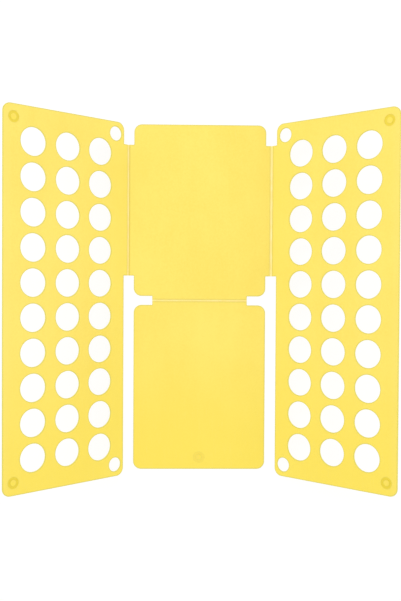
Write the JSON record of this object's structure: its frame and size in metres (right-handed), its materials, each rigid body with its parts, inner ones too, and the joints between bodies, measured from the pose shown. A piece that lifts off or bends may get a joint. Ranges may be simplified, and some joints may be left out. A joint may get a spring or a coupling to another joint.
{
  "type": "shirt folding board",
  "caption": "Flat plastic garment folding board: perforated side wings and a lower flap swing over a plain centre panel on thin flexible hinge strips.",
  "frame": {"origin": "on the underside of the upper centre panel, midway between the side hinges and half way along the wings", "axes": "+Z out of the folding face, which lies face up; +Y towards the collar end, where the upper centre panel is; +X to the right"},
  "size_m": [0.5914, 0.587, 0.1536],
  "materials": {
    "panel": "satin moulded polypropylene, pale yellow",
    "hinge_web": "thin polypropylene web, slightly see-through, paler than the panels",
    "foot": "soft yellow elastomer, satin"
  },
  "bodies": {
    "centre": {"upper_centre_panel": "panel", "left_hinge_web": "hinge_web", "right_hinge_web": "hinge_web", "lower_hinge_web": "hinge_web"},
    "left_wing": {"left_wing_panel": "panel", "left_top_foot": "foot", "left_bottom_foot": "foot"},
    "right_wing": {"right_wing_panel": "panel", "right_top_foot": "foot", "right_bottom_foot": "foot"},
    "lower_flap": {"lower_centre_panel": "panel", "lower_foot": "foot"}
  },
  "joints": [
    {"name": "left_wing_fold", "type": "hinge", "parent": "centre", "child": "left_wing", "pos_m": [-0.1193, 0.1493, 0.00315], "axis": [0, 1, 0], "range_deg": [-40.83, 139], "deforming": ["left_hinge_web"]},
    {"name": "right_wing_fold", "type": "hinge", "parent": "centre", "child": "right_wing", "pos_m": [0.1193, 0.1493, 0.00413], "axis": [0, -1, 0], "range_deg": [-40.83, 139], "deforming": ["right_hinge_web"]},
    {"name": "lower_flap_fold", "type": "hinge", "parent": "centre", "child": "lower_flap", "pos_m": [0, -0.00145, 0.00187], "axis": [-1, 0, 0], "range_deg": [0, 179.86], "deforming": ["lower_hinge_web"]}
  ]
}
